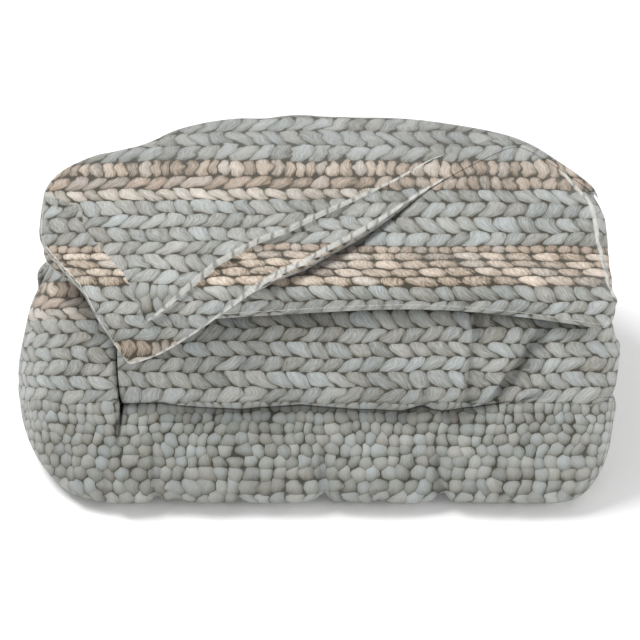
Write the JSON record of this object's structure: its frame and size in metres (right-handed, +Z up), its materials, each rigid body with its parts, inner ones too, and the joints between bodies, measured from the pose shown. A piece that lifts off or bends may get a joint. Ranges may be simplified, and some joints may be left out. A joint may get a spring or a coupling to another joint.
{
  "type": "folded duvet",
  "caption": "Filled bed duvet folded back and forth into a low stack, its last fold ending in two plies turned at a slant so that a corner hangs over the front.",
  "frame": {"origin": "middle of the base, on the floor", "axes": "+X along the stack's width, -Y out of the front with the round folds, +Z up"},
  "size_m": [0.613, 0.3964, 0.292],
  "materials": {
    "printed_cotton": "matte"
  },
  "bodies": {
    "root": {"duvet": "printed_cotton"}
  },
  "joints": []
}
